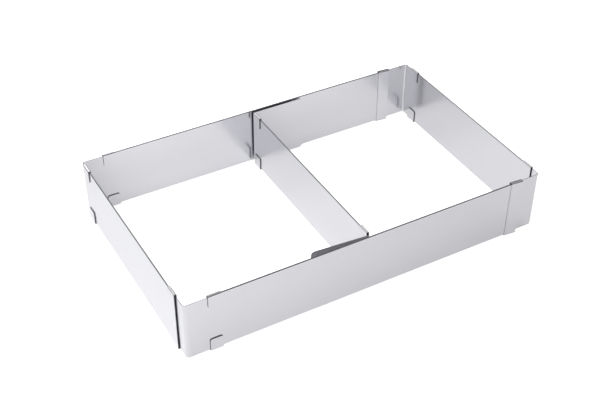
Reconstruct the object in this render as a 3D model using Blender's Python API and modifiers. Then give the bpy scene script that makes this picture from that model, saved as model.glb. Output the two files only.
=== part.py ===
"""Adjustable cake frame of thin stainless steel sheet, with an adjustable divider.

Four corner sheets make a rectangle without a bottom. Each has an outer leg and an inner leg. On every
side an outer leg and an inner leg lie on each other, and each ends in a band that a joggle sets off from
the leg, and that hooks over the top and bottom edges of the other. So the sheets slide in each other, and
the joggles stop the hooks at full length. The divider is two half sheets that hook on each other in the
same way, each with a spring flange that stands against the front or the back.

The frame rests on its bottom hooks at z = 0, centred on the origin, with its front at -Y.
Units are metres.
"""
import math

import bmesh
import bpy
from mathutils import Matrix, Vector

# Overall size at rest, over the outer legs and without the hooks
frame_width = 0.307
frame_depth = 0.188
wall_height = 0.050

# Sheet
sheet_thickness = 0.0005
sliding_gap = 0.0003
corner_radius = 0.0018
corner_steps = 8

# Band at each free end: a joggle sets it off from its leg, and two of the bands flare
band_width = 0.0102
band_step = 0.00050
joggle_angle = math.radians(80)
front_outer_flare = math.radians(5.0)
back_inner_flare = math.radians(5.0)
no_flare = 0.0

# Hooks at the top and bottom of a band
hook_rise = 0.0012
hook_radius = 0.0005
hook_clearance = 0.00025
hook_reach = 0.0100
hook_corner = 0.0016
hook_steps = 4
flared_hook_droop = math.radians(10)
level = 0.0

# How far the outer and the inner end on each side stop short of the next corner
front_outer_end = 0.0177
front_inner_end = 0.0190
right_outer_end = 0.0090
right_inner_end = 0.0098
back_outer_end = 0.0175
back_inner_end = 0.0205
left_outer_end = 0.0123
left_inner_end = 0.0065

# Divider
divider_place = -0.0031
divider_radius = 0.0005
divider_end_clearance = 0.0018
front_flange_stand_off = 0.00095
back_flange_stand_off = 0.00210
flange_length = 0.0470
flange_corner = 0.0030
front_flange_lean = math.radians(4.8)
back_flange_lean = 0.0

# Planes of a side, measured inwards from its outer face to the middle of each sheet
outer_plane = sheet_thickness / 2
inner_plane = outer_plane + sheet_thickness + sliding_gap
front_flange_plane = inner_plane + sheet_thickness + front_flange_stand_off
back_flange_plane = inner_plane + sheet_thickness + back_flange_stand_off
web_plane = (sliding_gap + sheet_thickness) / 2

# Straight stretch between a band and its hook's first fold
hook_climb = hook_rise - sheet_thickness / 2 - hook_radius

STEEL_COLOUR = (0.63, 0.63, 0.65, 1.0)
STEEL_ROUGHNESS = 0.28


class Sheet:
    """The leading edge of a sheet that is drawn out and folded, as on a press brake."""

    def __init__(self, mesh, edge, heading, side):
        self.mesh = mesh
        self.edge = edge
        self.heading = Vector(heading)
        self.side = Vector(side)

    def draw(self, length, narrow=0.0):
        """Draw the sheet on by a length, and return its new side edges, the lower one first."""
        grown = bmesh.ops.extrude_edge_only(self.mesh, edges=[self.edge])["geom"]
        tips = [item for item in grown if isinstance(item, bmesh.types.BMVert)]
        across = (tips[1].co - tips[0].co).normalized()
        bmesh.ops.translate(self.mesh, verts=tips, vec=self.heading * length)
        tips[0].co += across * narrow
        tips[1].co -= across * narrow
        self.edge = self.mesh.edges.get(tips)
        sides = [edge for tip in tips for edge in tip.link_edges if edge is not self.edge]
        return sorted(sides, key=lambda edge: sum(vert.co.z for vert in edge.verts))

    def draw_rounded(self, length, corner, steps):
        """Draw the sheet to its free end, whose two corners are rounded."""
        self.draw(length - corner)
        angles = [math.pi / 2 * step / steps for step in range(steps + 1)]
        for start, end in zip(angles, angles[1:]):
            self.draw(
                corner * (math.sin(end) - math.sin(start)),
                narrow=corner * (math.cos(start) - math.cos(end)),
            )

    def crease(self, angle):
        """Turn the way that the sheet is drawn towards its side, with no radius."""
        turn = Matrix.Rotation(angle, 3, self.heading.cross(self.side))
        self.heading = turn @ self.heading
        self.side = turn @ self.side

    def bend(self, radius, angle, steps):
        """Fold the sheet towards its side, on a radius to the middle of its thickness."""
        result = bmesh.ops.spin(
            self.mesh,
            geom=[*self.edge.verts, self.edge],
            cent=self.edge.verts[0].co + self.side * radius,
            axis=self.heading.cross(self.side),
            angle=angle,
            steps=steps,
        )
        self.edge = next(item for item in result["geom_last"] if isinstance(item, bmesh.types.BMEdge))
        self.crease(angle)


def start_sheet(x, y, heading, side):
    """Start a new sheet from an upright edge of the wall's height."""
    mesh = bmesh.new()
    foot = mesh.verts.new((x, y, 0))
    head = mesh.verts.new((x, y, wall_height))
    return Sheet(mesh, mesh.edges.new((foot, head)), heading, side)


def band_rise(flare):
    """How far a band stands off its leg at its free end."""
    return band_step + band_width * math.sin(flare)


def end_length(flare):
    """Length of a band and its joggle along its leg."""
    return band_width * math.cos(flare) + band_step / math.tan(joggle_angle)


def fold_hook(mesh, edge, heading, mate, flare, droop):
    """Fold a hook from a band's top or bottom edge over the sheet on its mate side."""
    span = 2 * sheet_thickness + sliding_gap + band_rise(flare) + hook_clearance
    hook = Sheet(mesh, edge, heading, mate)
    hook.draw(hook_climb)
    hook.bend(hook_radius, math.pi / 2 + droop, hook_steps)
    hook.draw((span - 2 * hook_radius) / math.cos(droop))
    hook.bend(hook_radius, math.pi / 2 - droop, hook_steps)
    hook.draw_rounded(hook_climb + hook_reach, hook_corner, hook_steps)


def draw_band(sheet, mate, flare):
    """Draw a band with its two hooks, which fold towards the mating sheet.

    On a flared band, the top hook droops to that sheet.
    """
    bottom, top = sheet.draw(band_width)
    top_droop = flared_hook_droop if flare else level
    fold_hook(sheet.mesh, top, (0, 0, 1), mate, flare, top_droop)
    fold_hook(sheet.mesh, bottom, (0, 0, -1), mate, flare, level)


def draw_first_end(sheet, flare):
    """Draw the band that a sheet starts with, and joggle it to its leg."""
    sheet.crease(flare)
    draw_band(sheet, sheet.side, flare)
    sheet.crease(joggle_angle - flare)
    sheet.draw(band_step / math.sin(joggle_angle))
    sheet.crease(-joggle_angle)


def draw_second_end(sheet, flare):
    """Joggle the leg to the band that a sheet ends with, and draw that."""
    sheet.crease(joggle_angle)
    sheet.draw(band_step / math.sin(joggle_angle))
    sheet.crease(flare - joggle_angle)
    draw_band(sheet, -sheet.side, flare)


def corner_sheet_mesh(name, outer_leg, inner_leg):
    """Fold a corner sheet: its outer leg lies along +X, its inner leg along +Y, and both face inwards.

    Each leg is its reach, from the frame's outer corner at the mesh's origin to its end, and its flare.
    """
    bend_radius = corner_radius + sheet_thickness / 2
    outer_reach, outer_flare = outer_leg
    inner_reach, inner_flare = inner_leg
    sheet = start_sheet(outer_reach, outer_plane - band_rise(outer_flare), (-1, 0, 0), (0, 1, 0))
    draw_first_end(sheet, outer_flare)
    sheet.draw(outer_reach - end_length(outer_flare) - inner_plane - bend_radius)
    sheet.bend(bend_radius, math.pi / 2, corner_steps)
    sheet.draw(inner_reach - end_length(inner_flare) - outer_plane - bend_radius)
    draw_second_end(sheet, inner_flare)
    return finish_mesh(sheet.mesh, name)


def divider_half_mesh(name, own_plane, other_plane, lean):
    """Fold a divider half: its web runs in from the panel at y = 0, and its flange lies along -X.

    The planes are those of its own flange and of the other half's, where its web ends. The lean turns the
    flange in from the panel, as spring steel stands when nothing presses on it.
    """
    bend_radius = divider_radius + sheet_thickness / 2
    web_reach = frame_depth - other_plane - sheet_thickness / 2 - divider_end_clearance
    sheet = start_sheet(web_plane + band_rise(no_flare), web_reach, (0, -1, 0), (-1, 0, 0))
    draw_first_end(sheet, no_flare)
    sheet.draw(web_reach - end_length(no_flare) - own_plane - bend_radius)
    sheet.bend(bend_radius, math.pi / 2 + lean, corner_steps)
    sheet.draw_rounded(flange_length - bend_radius, flange_corner, corner_steps)
    return finish_mesh(sheet.mesh, name)


def finish_mesh(source, name):
    """Write the folded surface, which is the middle of the sheet, to a mesh."""
    bmesh.ops.recalc_face_normals(source, faces=source.faces)
    mesh = bpy.data.meshes.new(name)
    source.to_mesh(mesh)
    source.free()
    mesh.shade_smooth()
    mesh.set_sharp_from_angle(angle=math.radians(40))
    return mesh


def steel_material(name):
    """Bright stainless steel."""
    material = bpy.data.materials.new(name)
    material.use_nodes = True
    shader = material.node_tree.nodes["Principled BSDF"]
    shader.inputs["Base Color"].default_value = STEEL_COLOUR
    shader.inputs["Metallic"].default_value = 1.0
    shader.inputs["Roughness"].default_value = STEEL_ROUGHNESS
    return material


def place_sheet(name, mesh, x, y, quarter_turns, collection):
    """Stand a sheet in the frame, on its bottom hooks, and give it its thickness."""
    part = bpy.data.objects.new(name, mesh)
    part.location = (x, y, hook_rise)
    part.rotation_euler.z = quarter_turns * math.pi / 2
    part.data.materials.clear()
    part.data.materials.append(steel_material(name + "_steel"))
    wall = part.modifiers.new("Sheet", "SOLIDIFY")
    wall.thickness = sheet_thickness
    wall.offset = 0
    wall.use_even_offset = True
    collection.objects.link(part)
    return part


def build_corner_sheets(collection):
    """Four corner sheets, each the outer one on one side and the inner one on the next."""
    across = frame_width / 2
    along = frame_depth / 2
    front_outer = (frame_width - front_outer_end, front_outer_flare)
    front_inner = (frame_width - front_inner_end, no_flare)
    right_outer = (frame_depth - right_outer_end, no_flare)
    right_inner = (frame_depth - right_inner_end, no_flare)
    back_outer = (frame_width - back_outer_end, no_flare)
    back_inner = (frame_width - back_inner_end, back_inner_flare)
    left_outer = (frame_depth - left_outer_end, no_flare)
    left_inner = (frame_depth - left_inner_end, no_flare)
    corners = [
        ("front_left_sheet", -across, -along, front_outer, left_inner),
        ("front_right_sheet", across, -along, right_outer, front_inner),
        ("back_right_sheet", across, along, back_outer, right_inner),
        ("back_left_sheet", -across, along, left_outer, back_inner),
    ]
    for quarter_turns, (name, x, y, outer_leg, inner_leg) in enumerate(corners):
        mesh = corner_sheet_mesh(name, outer_leg, inner_leg)
        place_sheet(name, mesh, x, y, quarter_turns, collection)


def build_divider(collection):
    """Two divider halves, which differ only in how their flanges stand."""
    along = frame_depth / 2
    front = divider_half_mesh(
        "divider_front_half", front_flange_plane, back_flange_plane, front_flange_lean
    )
    place_sheet("divider_front_half", front, divider_place, -along, 0, collection)
    back = divider_half_mesh(
        "divider_back_half", back_flange_plane, front_flange_plane, back_flange_lean
    )
    place_sheet("divider_back_half", back, divider_place, along, 2, collection)


def main():
    for leftover in list(bpy.data.objects):
        bpy.data.objects.remove(leftover, do_unlink=True)
    collection = bpy.data.collections.new("adjustable_cake_frame")
    bpy.context.scene.collection.children.link(collection)
    build_corner_sheets(collection)
    build_divider(collection)


main()
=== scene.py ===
"""Adjustable cake frame of bright stainless sheet with an adjustable divider: its finish, light and camera.

Four corner sheets slide in each other, and two divider leaves slide in each other between them. Every sheet
is one strip, cut, folded and joggled, so each is modelled as a strip that is drawn out and folded.
"""
import math

import bmesh
import bpy
from mathutils import Matrix, Vector


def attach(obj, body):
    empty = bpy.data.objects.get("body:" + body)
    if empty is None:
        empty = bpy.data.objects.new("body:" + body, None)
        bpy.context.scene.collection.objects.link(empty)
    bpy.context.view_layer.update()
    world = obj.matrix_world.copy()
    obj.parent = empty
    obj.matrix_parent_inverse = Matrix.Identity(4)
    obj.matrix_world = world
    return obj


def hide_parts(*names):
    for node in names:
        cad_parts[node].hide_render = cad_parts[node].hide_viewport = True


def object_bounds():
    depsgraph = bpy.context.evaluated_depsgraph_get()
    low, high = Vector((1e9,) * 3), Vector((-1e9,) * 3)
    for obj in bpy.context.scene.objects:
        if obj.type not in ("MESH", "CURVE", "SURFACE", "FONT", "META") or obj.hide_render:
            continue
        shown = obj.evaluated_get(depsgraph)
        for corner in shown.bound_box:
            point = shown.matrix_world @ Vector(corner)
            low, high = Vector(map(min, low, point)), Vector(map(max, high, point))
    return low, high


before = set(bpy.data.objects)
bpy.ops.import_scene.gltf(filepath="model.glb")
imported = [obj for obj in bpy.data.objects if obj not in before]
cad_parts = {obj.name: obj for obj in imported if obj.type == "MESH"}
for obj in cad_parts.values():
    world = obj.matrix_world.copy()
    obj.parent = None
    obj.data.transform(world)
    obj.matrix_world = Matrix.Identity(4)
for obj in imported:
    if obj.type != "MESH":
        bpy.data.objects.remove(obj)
cad_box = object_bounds()

# Sheet and its folds, in metres. The sheets all but touch on the short sides and in the divider, and stand
# a little apart on the long ones
sheet_thickness = 0.0005
long_side_gap = 0.0004
short_side_gap = 0.0001
corner_radius = 0.0018
divider_radius = 0.0005
fold_steps = 20
edge_rounding = 0.00018
edge_steps = 3

# Band at each free end: a joggle sets it off from the sheet that it slides on, and two of the bands flare
band_width = 0.0102
band_step = 0.00050
joggle_angle = math.radians(80)
joggle_rounding = 0.00012
joggle_steps = 3
front_outer_flare = math.radians(5.0)
back_inner_flare = math.radians(5.0)
no_flare = 0.0

# Hooks at the top and bottom of a band
hook_rise = 0.0012
hook_radius = 0.0005
hook_clearance = 0.00025
hook_reach = 0.0100
hook_corner = 0.0016
hook_steps = 8
flared_hook_droop = math.radians(10)
level = 0.0

# How far the outer and the inner end on each side stop short of the next corner
front_outer_end = 0.0177
front_inner_end = 0.0190
right_outer_end = 0.0090
right_inner_end = 0.0098
back_outer_end = 0.0175
back_inner_end = 0.0205
left_outer_end = 0.0123
left_inner_end = 0.0065

# Divider
divider_place = -0.0031
divider_end_clearance = 0.0018
front_flange_stand_off = 0.00095
back_flange_stand_off = 0.00210
flange_length = 0.0470
flange_corner = 0.0030
front_flange_lean = math.radians(4.8)
back_flange_lean = 0.0

# Depths measured inwards from a side's outer face: the middle of the outer sheet, the whole overlap, and the
# middle of each flange
outer_plane = sheet_thickness / 2
wall_build_up = 2 * sheet_thickness + long_side_gap
front_flange_plane = wall_build_up + front_flange_stand_off + sheet_thickness / 2
back_flange_plane = wall_build_up + back_flange_stand_off + sheet_thickness / 2

# How far the middle of a web's sheet stands from the divider's middle plane
web_plane = (short_side_gap + sheet_thickness) / 2

# Straight stretch between a wall's edge and a hook's fold
hook_climb = hook_rise - sheet_thickness / 2 - hook_radius

# The walls' size
frame_width = 0.307
frame_depth = 0.188
wall_height = cad_box[1].z - cad_box[0].z - 2 * hook_rise

# Camera, which stands at the front left and looks down on the frame
camera_azimuth = math.radians(31.298)
camera_elevation = math.radians(38.965)
camera_roll = math.radians(1.481)
camera_distance = 0.868
camera_aim = Vector((-0.0015, -0.0246, 0.0250))
camera_lens = 66.44
camera_shift = (-0.04, 0.02)

# Floor, and how far its paper is lifted to white where the camera or a reflection sees it
floor_size = 6.0
camera_lift = 0.90
mirror_lift = 0.41

# Lamps: where each stands, its width and height, and the strength of its white face, where 1 is white
lamps = {
    "left_softbox": ((-0.25, 0.10, 0.60), (0.40, 0.40), 1.75),
    "front_left_softbox": ((-0.45, -0.30, 0.50), (0.40, 0.40), 3.85),
    "right_softbox": ((0.35, 0.10, 0.60), (0.40, 0.40), 1.05),
    "back_softbox": ((1.30, 1.85, 1.60), (1.40, 0.90), 1.1),
    "back_left_softbox": ((-0.60, 1.85, 1.60), (3.00, 0.90), 1.8),
}

# Even light that the room gives from all sides, in the same measure
room_strength = 0.08

# Bounces of light, many because sheets that stand close together mirror each other over and over
mirror_bounces = 16
all_bounces = 20

# Most of a noise texture's values lie between these two
noise_low = 0.3
noise_high = 0.7

# Slots of a strip's finishes: a cut edge takes the slot that follows that of the face beside it
sheet_slot = 0
fold_slot = 2
rubbed_slot = 4
slots_to_edge = 1

# Points nearer than this are one, edges sharper than this are eased, and a face whose normal goes this far
# along a direction faces that way
weld_distance = 0.000001
sharp_angle = math.radians(50)
facing_share = 0.9


def linear(code):
    """Turn an sRGB hex colour into linear red, green, blue and alpha."""
    shares = [int(code[place : place + 2], 16) / 255 for place in (1, 3, 5)]
    return (*[s / 12.92 if s <= 0.04045 else ((s + 0.055) / 1.055) ** 2.4 for s in shares], 1.0)


def add_node(tree, kind, settings=None, links=None):
    """Add a shader node with its settings and links.

    A name is a property's where the node has it. Any other name, or a number, is a socket's.
    """
    node = tree.nodes.new(kind)
    for name, value in (settings or {}).items():
        if isinstance(name, str) and hasattr(node, name):
            setattr(node, name, value)
        else:
            node.inputs[name].default_value = value
    for name, source in (links or {}).items():
        tree.links.new(source, node.inputs[name])
    return node


def new_material(name):
    """Start a material from its Principled shader, and return it with its tree and shader."""
    material = bpy.data.materials.new(name)
    material.use_nodes = True
    tree = material.node_tree
    return material, tree, tree.nodes["Principled BSDF"]


def bright_rolled_stainless():
    """Bright annealed stainless sheet, cold rolled between polished rolls.

    The eye sees a soft mirror: things that stand within a few millimetres show as clear reflections, and
    farther ones blur. Fine lines from the rolls run along the strip, so they lie level on every wall.
    """
    material, tree, steel = new_material("bright_rolled_stainless")
    steel.inputs["Base Color"].default_value = linear("#DADADE")
    steel.inputs["Metallic"].default_value = 1.0
    place = add_node(tree, "ShaderNodeTexCoord").outputs["Object"]
    grain_spacing, grain_length, grain_height = 0.0007, 0.060, 0.000004
    smoothest, roughest = 0.19, 0.25
    along = add_node(
        tree,
        "ShaderNodeMapping",
        {"Scale": (1 / grain_length, 1 / grain_length, 1 / grain_spacing)},
        {"Vector": place},
    )
    grain = add_node(
        tree,
        "ShaderNodeTexNoise",
        {"Scale": 1.0, "Detail": 3.0, "Roughness": 0.6},
        {"Vector": along.outputs["Vector"]},
    )
    roughness = add_node(
        tree,
        "ShaderNodeMapRange",
        {"From Min": noise_low, "From Max": noise_high, "To Min": smoothest, "To Max": roughest},
        {"Value": grain.outputs["Fac"]},
    )
    tree.links.new(roughness.outputs["Result"], steel.inputs["Roughness"])
    wave_length, wave_height = 0.070, 0.00030
    waves = add_node(
        tree,
        "ShaderNodeTexNoise",
        {"Scale": 1 / wave_length, "Detail": 1.0},
        {"Vector": place},
    )
    flatness = add_node(
        tree,
        "ShaderNodeBump",
        {"Strength": 1.0, "Distance": wave_height},
        {"Height": waves.outputs["Fac"]},
    )
    rolled = add_node(
        tree,
        "ShaderNodeBump",
        {"Strength": 1.0, "Distance": grain_height},
        {"Height": grain.outputs["Fac"], "Normal": flatness.outputs["Normal"]},
    )
    tree.links.new(rolled.outputs["Normal"], steel.inputs["Normal"])
    return material


def sheared_edge_and_painted_shade():
    """The cut edge of the sheet, sheared and then tumbled, in a colour darkened by painted shade.

    The blade leaves a torn, dull band across the thickness. Its colour is set far darker than steel as
    painted shade of the narrow gaps between sheets along their edges, so the middle of an edge looks dark.
    Tumbling rounds and brightens the two corners beside it, which have the finish of the sheet.
    """
    material, tree, steel = new_material("sheared_edge_and_painted_shade")
    steel.inputs["Metallic"].default_value = 1.0
    steel.inputs["Roughness"].default_value = 0.35
    place = add_node(tree, "ShaderNodeTexCoord").outputs["Object"]
    tear_spacing, tear_height = 0.00025, 0.00003
    dark_end, pale_end = 0.35, 0.65
    tears = add_node(
        tree,
        "ShaderNodeTexNoise",
        {"Scale": 1 / tear_spacing, "Detail": 2.0},
        {"Vector": place},
    )
    shade = add_node(
        tree,
        "ShaderNodeValToRGB",
        links={"Fac": tears.outputs["Fac"]},
    )
    # Both greys lie far below steel's colour: the torn band's dullness, and painted shade of the gaps
    # between sheets
    shade.color_ramp.elements[0].position = dark_end
    shade.color_ramp.elements[0].color = linear("#66666A")
    shade.color_ramp.elements[1].position = pale_end
    shade.color_ramp.elements[1].color = linear("#94949A")
    tree.links.new(shade.outputs["Color"], steel.inputs["Base Color"])
    torn = add_node(
        tree,
        "ShaderNodeBump",
        {"Strength": 0.6, "Distance": tear_height},
        {"Height": tears.outputs["Fac"]},
    )
    tree.links.new(torn.outputs["Normal"], steel.inputs["Normal"])
    return material


def worked_fold_and_painted_shade():
    """Stainless sheet where the press folded it tight, over about its own thickness, darkened by painted
    shade.

    The stretched skin turns rough there, and its colour is set darker than the sheet's as painted shade in
    the crease, so a hook or joggle shows a dull, darker line along each fold.
    """
    material, tree, steel = new_material("worked_fold_and_painted_shade")
    # Darker than the sheet's colour: painted shade along the folds
    steel.inputs["Base Color"].default_value = linear("#C4C4C7")
    steel.inputs["Metallic"].default_value = 1.0
    place = add_node(tree, "ShaderNodeTexCoord").outputs["Object"]
    grain_size, peel_height = 0.00015, 0.00001
    smoothest, roughest = 0.28, 0.40
    peel = add_node(
        tree,
        "ShaderNodeTexNoise",
        {"Scale": 1 / grain_size, "Detail": 2.0},
        {"Vector": place},
    )
    roughness = add_node(
        tree,
        "ShaderNodeMapRange",
        {"From Min": noise_low, "From Max": noise_high, "To Min": smoothest, "To Max": roughest},
        {"Value": peel.outputs["Fac"]},
    )
    tree.links.new(roughness.outputs["Result"], steel.inputs["Roughness"])
    skin = add_node(
        tree,
        "ShaderNodeBump",
        {"Strength": 0.5, "Distance": peel_height},
        {"Height": peel.outputs["Fac"]},
    )
    tree.links.new(skin.outputs["Normal"], steel.inputs["Normal"])
    return material


def rubbed_stainless():
    """Stainless sheet that rubs on another: the front flange's face, whenever the divider is moved.

    Fine scratches in all directions take its mirror away, so it shows as an even satin grey in the light
    that comes down between the sheets.
    """
    material, tree, steel = new_material("rubbed_stainless")
    steel.inputs["Base Color"].default_value = linear("#DADADE")
    steel.inputs["Metallic"].default_value = 1.0
    place = add_node(tree, "ShaderNodeTexCoord").outputs["Object"]
    scratch_spacing = 0.0004
    smoothest, roughest = 0.75, 0.95
    scratches = add_node(
        tree,
        "ShaderNodeTexNoise",
        {"Scale": 1 / scratch_spacing, "Detail": 3.0},
        {"Vector": place},
    )
    roughness = add_node(
        tree,
        "ShaderNodeMapRange",
        {"From Min": noise_low, "From Max": noise_high, "To Min": smoothest, "To Max": roughest},
        {"Value": scratches.outputs["Fac"]},
    )
    tree.links.new(roughness.outputs["Result"], steel.inputs["Roughness"])
    return material


def pick_edge(place):
    """Select the one edge of the strip in edit mode whose middle is nearest to a place."""
    bpy.ops.mesh.select_all(action="DESELECT")
    strip = bpy.context.object.data
    edit = bmesh.from_edit_mesh(strip)
    nearest = min(edit.edges, key=lambda edge: ((edge.verts[0].co + edge.verts[1].co) / 2 - place).length)
    nearest.select_set(True)
    bmesh.update_edit_mesh(strip)


class Fold:
    """The selected edge of a strip in edit mode, with the way it is drawn and the side it folds to."""

    def __init__(self, place, heading, side):
        self.place = Vector(place)
        self.heading = Vector(heading)
        self.side = Vector(side)
        pick_edge(self.place)

    def draw(self, length):
        """Draw the sheet on by a length."""
        step = self.heading * length
        bpy.ops.mesh.extrude_region_move(TRANSFORM_OT_translate={"value": step})
        self.place += step

    def crease(self, angle):
        """Turn the way that the sheet is drawn towards its side, with no radius."""
        turn = Matrix.Rotation(angle, 3, self.heading.cross(self.side))
        self.heading = turn @ self.heading
        self.side = turn @ self.side

    def bend(self, radius, angle, steps):
        """Fold the sheet towards its side, on a radius to the middle of its thickness."""
        axis = self.heading.cross(self.side)
        centre = self.place + self.side * radius
        bpy.ops.mesh.spin(steps=steps, angle=-angle, center=centre, axis=axis)
        turn = Matrix.Rotation(angle, 3, axis)
        self.place = centre + turn @ (self.place - centre)
        self.heading = turn @ self.heading
        self.side = turn @ self.side

    def round_end(self, radius, steps):
        """Round the two corners of the free end."""
        bpy.ops.mesh.bevel(offset=radius, segments=steps, affect="VERTICES")


def start_strip(name, free_end, heading):
    """Stand a band's flat blank on end, from its free end, and start to edit it."""
    centre = free_end + heading * band_width / 2
    upright = (math.pi / 2, 0, math.atan2(heading.y, heading.x))
    bpy.ops.object.select_all(action="DESELECT")
    bpy.ops.mesh.primitive_plane_add(size=1, location=centre, rotation=upright)
    strip = bpy.context.object
    strip.name = strip.data.name = name
    strip.scale = (band_width, wall_height, 1)
    bpy.ops.object.transform_apply(location=True, rotation=True, scale=True)
    bpy.ops.object.mode_set(mode="EDIT")
    bpy.ops.mesh.select_mode(type="EDGE")
    return strip


def band_rise(flare):
    """How far a band stands off its leg at its free end."""
    return band_step + band_width * math.sin(flare)


def end_length(flare):
    """Length of a band and its joggle along its leg."""
    return band_width * math.cos(flare) + band_step / math.tan(joggle_angle)


def fold_hook(edge_place, heading, mate, flare, gap, droop):
    """Fold a hook from a band's top or bottom edge over the sheet on its mate side."""
    span = 2 * sheet_thickness + gap + band_rise(flare) + hook_clearance
    hook = Fold(edge_place, heading, mate)
    hook.draw(hook_climb)
    hook.bend(hook_radius, math.pi / 2 + droop, hook_steps)
    hook.draw((span - 2 * hook_radius) / math.cos(droop))
    hook.bend(hook_radius, math.pi / 2 - droop, hook_steps)
    hook.draw(hook_climb + hook_reach)
    hook.round_end(hook_corner, hook_steps)


def fold_both_hooks(band_centre, mate, flare, gap):
    """Fold the top and the bottom hook of a band: on a flared band the top one droops to the other sheet."""
    up = Vector((0, 0, 1))
    top_droop = flared_hook_droop if flare else level
    for heading, droop in ((up, top_droop), (-up, level)):
        fold_hook(band_centre + heading * wall_height / 2, heading, mate, flare, gap, droop)


def fold_first_end(name, free_end, heading, side, flare, gap):
    """Start a strip with its first band and hooks, and joggle it to its leg.

    Returns the strip, the edge that its leg is drawn from and the places of the joggle's folds.
    """
    crease = Matrix.Rotation(flare, 3, heading.cross(side))
    strip = start_strip(name, free_end, crease @ heading)
    root = free_end + crease @ heading * band_width
    fold_both_hooks((free_end + root) / 2, crease @ side, flare, gap)
    leg = Fold(root, crease @ heading, crease @ side)
    leg.crease(joggle_angle - flare)
    leg.draw(band_step / math.sin(joggle_angle))
    leg.crease(-joggle_angle)
    return strip, leg, [root, leg.place.copy()]


def fold_second_end(leg, flare, gap):
    """Joggle the leg to its second band and fold the hooks. Returns the places of the joggle's folds."""
    joggle = [leg.place.copy()]
    leg.crease(joggle_angle)
    leg.draw(band_step / math.sin(joggle_angle))
    joggle.append(leg.place.copy())
    leg.crease(flare - joggle_angle)
    leg.draw(band_width)
    fold_both_hooks(leg.place - leg.heading * band_width / 2, -leg.side, flare, gap)
    return joggle


def round_joggles(joggles):
    """Give the two folds of each joggle their small radius."""
    bpy.ops.mesh.select_all(action="DESELECT")
    strip = bpy.context.object.data
    edit = bmesh.from_edit_mesh(strip)
    for edge in edit.edges:
        middle = (edge.verts[0].co + edge.verts[1].co) / 2
        upright = abs(edge.verts[0].co.z - edge.verts[1].co.z) > wall_height / 2
        if upright and any((middle - fold).length < joggle_rounding for fold in joggles):
            edge.select_set(True)
    bmesh.update_edit_mesh(strip)
    bpy.ops.mesh.bevel(offset=joggle_rounding, segments=joggle_steps, affect="EDGES")


def dull_and_shaded_tight_folds(joggles):
    """Give the folds of the hooks and joggles the finish of worked steel: rougher, with painted shade in its
    colour.
    """
    bpy.ops.mesh.select_mode(type="FACE")
    bpy.ops.mesh.select_all(action="DESELECT")
    strip = bpy.context.object
    edit = bmesh.from_edit_mesh(strip.data)
    largest_on_fold = band_width * hook_radius / 2
    for face in edit.faces:
        middle = face.calc_center_median()
        on_hook = face.calc_area() < largest_on_fold
        on_joggle = any((middle - fold).length < band_step for fold in joggles)
        face.select_set(on_hook or on_joggle)
    bmesh.update_edit_mesh(strip.data)
    strip.active_material_index = fold_slot
    bpy.ops.object.material_slot_assign()


def give_thickness(strip, joggles, steel, edge_steel_and_painted_shade, fold_steel_and_painted_shade, rubbed_steel):
    """Turn the folded surface, which is the middle of the sheet, into sheet with eased cut edges."""
    bpy.ops.mesh.select_all(action="SELECT")
    bpy.ops.mesh.remove_doubles(threshold=weld_distance)
    bpy.ops.mesh.normals_make_consistent(inside=False)
    for finish in (steel, edge_steel_and_painted_shade, fold_steel_and_painted_shade, edge_steel_and_painted_shade, rubbed_steel):
        strip.data.materials.append(finish)
    dull_and_shaded_tight_folds(joggles)
    bpy.ops.object.mode_set(mode="OBJECT")
    wall = strip.modifiers.new("sheet", "SOLIDIFY")
    wall.thickness = sheet_thickness
    wall.offset = 0
    wall.use_even_offset = True
    # Cut edges take the edge finish, whose dark colour is partly painted shade
    wall.material_offset_rim = slots_to_edge
    bpy.ops.object.modifier_apply(modifier=wall.name)
    eased = strip.modifiers.new("eased_edges", "BEVEL")
    eased.width = edge_rounding
    eased.segments = edge_steps
    eased.limit_method = "ANGLE"
    eased.angle_limit = sharp_angle
    eased.material = sheet_slot
    bpy.ops.object.modifier_apply(modifier=eased.name)
    bpy.ops.object.shade_smooth_by_angle(angle=sharp_angle)
    flat = strip.modifiers.new("flat_walls", "WEIGHTED_NORMAL")
    flat.keep_sharp = True
    bpy.ops.object.modifier_apply(modifier=flat.name)


def stand_in_frame(strip, x, y, quarter_turns):
    """Turn a finished strip about its corner and set it in the frame, on its bottom hooks."""
    strip.rotation_euler.z = quarter_turns * math.pi / 2
    strip.location = (x, y, hook_rise)
    bpy.ops.object.transform_apply(location=True, rotation=True, scale=True)


def fold_corner_sheet(name, outer_leg, inner_leg, steels):
    """Fold a corner sheet at the origin: its outer leg lies along +X.

    Each leg has its reach, its band's flare and its side's gap.
    """
    radius = corner_radius + sheet_thickness / 2
    outer_reach, outer_flare, outer_gap = outer_leg
    inner_reach, inner_flare, inner_gap = inner_leg
    inner_plane = outer_plane + sheet_thickness + inner_gap
    free_end = Vector((outer_reach, outer_plane - band_rise(outer_flare), wall_height / 2))
    heading, side = Vector((-1, 0, 0)), Vector((0, 1, 0))
    strip, leg, joggles = fold_first_end(name, free_end, heading, side, outer_flare, outer_gap)
    leg.draw(outer_reach - end_length(outer_flare) - inner_plane - radius)
    leg.bend(radius, math.pi / 2, fold_steps)
    leg.draw(inner_reach - end_length(inner_flare) - outer_plane - radius)
    joggles += fold_second_end(leg, inner_flare, inner_gap)
    round_joggles(joggles)
    give_thickness(strip, joggles, *steels)
    return strip


def rub_flange(leaf):
    """Give a leaf's flange the rubbed finish on its face towards the side."""
    bpy.ops.object.mode_set(mode="EDIT")
    bpy.ops.mesh.select_mode(type="FACE")
    bpy.ops.mesh.select_all(action="DESELECT")
    edit = bmesh.from_edit_mesh(leaf.data)
    for face in edit.faces:
        on_flange = face.calc_center_median().x < -flange_corner
        face.select_set(on_flange and face.normal.y < -facing_share)
    bmesh.update_edit_mesh(leaf.data)
    leaf.active_material_index = rubbed_slot
    bpy.ops.object.material_slot_assign()
    bpy.ops.object.mode_set(mode="OBJECT")


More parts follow.
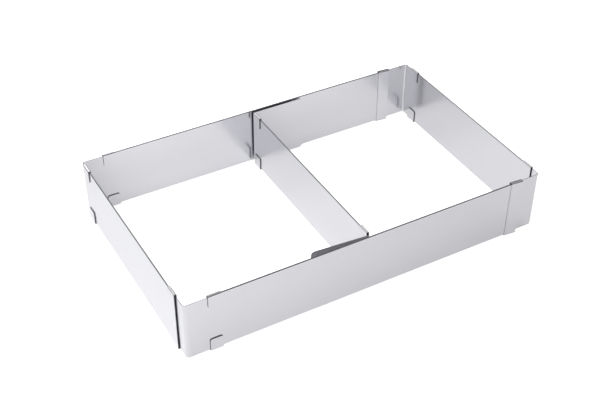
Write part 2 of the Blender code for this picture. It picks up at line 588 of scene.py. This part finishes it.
def fold_divider_leaf(name, own_plane, other_plane, lean, steels):
    """Fold a divider leaf: its web runs in from the wall at y = 0, and its flange lies along -X.

    The planes are those of its own flange and of the other leaf's, where its web ends.
    """
    radius = divider_radius + sheet_thickness / 2
    web_reach = frame_depth - other_plane - sheet_thickness / 2 - divider_end_clearance
    free_end = Vector((web_plane + band_rise(no_flare), web_reach, wall_height / 2))
    heading, side = Vector((0, -1, 0)), Vector((-1, 0, 0))
    strip, web, joggle = fold_first_end(name, free_end, heading, side, no_flare, short_side_gap)
    web.draw(web_reach - end_length(no_flare) - own_plane - radius)
    web.bend(radius, math.pi / 2 + lean, fold_steps)
    web.draw(flange_length - radius)
    web.round_end(flange_corner, fold_steps)
    round_joggles(joggle)
    give_thickness(strip, joggle, *steels)
    return strip


def stand_for(piece, node, body):
    """Let a finished sheet take its CAD node's place and body."""
    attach(piece, body)
    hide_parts(node)


def make_corner_sheets(steels):
    """Four corner sheets, each the outer one on one side and the inner one on the next."""
    across = frame_width / 2
    along = frame_depth / 2
    front_outer = (frame_width - front_outer_end, front_outer_flare, long_side_gap)
    front_inner = (frame_width - front_inner_end, no_flare, long_side_gap)
    right_outer = (frame_depth - right_outer_end, no_flare, short_side_gap)
    right_inner = (frame_depth - right_inner_end, no_flare, short_side_gap)
    back_outer = (frame_width - back_outer_end, no_flare, long_side_gap)
    back_inner = (frame_width - back_inner_end, back_inner_flare, long_side_gap)
    left_outer = (frame_depth - left_outer_end, no_flare, short_side_gap)
    left_inner = (frame_depth - left_inner_end, no_flare, short_side_gap)
    corners = [
        ("front_left", -across, -along, front_outer, left_inner),
        ("front_right", across, -along, right_outer, front_inner),
        ("back_right", across, along, back_outer, right_inner),
        ("back_left", -across, along, left_outer, back_inner),
    ]
    for quarter_turns, (body, x, y, outer_leg, inner_leg) in enumerate(corners):
        sheet = fold_corner_sheet(body + "_corner", outer_leg, inner_leg, steels)
        stand_in_frame(sheet, x, y, quarter_turns)
        stand_for(sheet, body + "_sheet", body)


def make_divider(steels):
    """Two divider leaves, whose flanges stand against the front and the back."""
    along = frame_depth / 2
    front = fold_divider_leaf(
        "divider_front_leaf", front_flange_plane, back_flange_plane, front_flange_lean, steels
    )
    rub_flange(front)
    stand_in_frame(front, divider_place, -along, 0)
    stand_for(front, "divider_front_half", "divider_front")
    back = fold_divider_leaf(
        "divider_back_leaf", back_flange_plane, front_flange_plane, back_flange_lean, steels
    )
    stand_in_frame(back, divider_place, along, 2)
    stand_for(back, "divider_back_half", "divider_back")


def paper_floor():
    """Matt white paper.

    It takes the lamps' light and the frame's shadow like paper, and a camera or a reflection sees it lifted
    to white.
    """
    material, tree, paper = new_material("matt_white_paper")
    paper.inputs["Base Color"].default_value = linear("#F0F0F0")
    paper.inputs["Roughness"].default_value = 0.9
    paper.inputs["Emission Color"].default_value = linear("#FFFFFF")
    path = add_node(tree, "ShaderNodeLightPath")
    seen = add_node(
        tree,
        "ShaderNodeMath",
        {"operation": "MULTIPLY", 1: camera_lift},
        {0: path.outputs["Is Camera Ray"]},
    )
    mirrored = add_node(
        tree,
        "ShaderNodeMath",
        {"operation": "MULTIPLY_ADD", 1: mirror_lift},
        {0: path.outputs["Is Glossy Ray"], 2: seen.outputs["Value"]},
    )
    tree.links.new(mirrored.outputs["Value"], paper.inputs["Emission Strength"])
    material.cycles.emission_sampling = "NONE"
    return material


def lay_floor():
    """A plain floor under the frame."""
    bpy.ops.object.select_all(action="DESELECT")
    bpy.ops.mesh.primitive_plane_add(size=floor_size)
    floor = bpy.context.object
    floor.name = "floor"
    floor.data.materials.append(paper_floor())


def hang_lamps():
    """Softboxes that all face the frame."""
    for name, (place, (width, height), strength) in lamps.items():
        facing = Vector(place).to_track_quat("Z", "Y").to_euler()
        bpy.ops.object.light_add(type="AREA", location=place, rotation=facing)
        lamp = bpy.context.object
        lamp.name = name
        lamp.data.shape = "RECTANGLE"
        lamp.data.size = width
        lamp.data.size_y = height
        # A lamp of this power has a face as bright as a white surface that glows at the strength
        lamp.data.energy = strength * math.pi * width * height


def light_room():
    """A pale room round the table: white behind the floor for the camera, and even light from all sides."""
    world = bpy.data.worlds.new("pale_room")
    bpy.context.scene.world = world
    world.use_nodes = True
    tree = world.node_tree
    background = tree.nodes["Background"]
    background.inputs["Color"].default_value = linear("#FFFFFF")
    path = add_node(tree, "ShaderNodeLightPath")
    strength = add_node(
        tree,
        "ShaderNodeMapRange",
        {"To Min": room_strength, "To Max": 1.0},
        {"Value": path.outputs["Is Camera Ray"]},
    )
    tree.links.new(strength.outputs["Result"], background.inputs["Strength"])


def place_camera():
    """Stand the camera at the front left, looking down on the frame."""
    reach, drop = math.cos(camera_elevation), math.sin(camera_elevation)
    ahead = Vector((math.sin(camera_azimuth) * reach, math.cos(camera_azimuth) * reach, -drop))
    right = Vector((math.cos(camera_azimuth), -math.sin(camera_azimuth), 0))
    up = right.cross(ahead)
    axes = Matrix((right, up, -ahead)).transposed() @ Matrix.Rotation(camera_roll, 3, "Z")
    place = camera_aim - ahead * camera_distance
    bpy.ops.object.camera_add(location=place, rotation=axes.to_euler())
    camera = bpy.context.object
    camera.name = "camera"
    camera.data.lens = camera_lens
    camera.data.shift_x, camera.data.shift_y = camera_shift
    bpy.context.scene.camera = camera


place_camera()
steels = (bright_rolled_stainless(), sheared_edge_and_painted_shade(), worked_fold_and_painted_shade(), rubbed_stainless())
make_corner_sheets(steels)
make_divider(steels)
lay_floor()
hang_lamps()
light_room()
bpy.context.scene.view_settings.view_transform = "Standard"
bpy.context.scene.cycles.glossy_bounces = mirror_bounces
bpy.context.scene.cycles.max_bounces = all_bounces
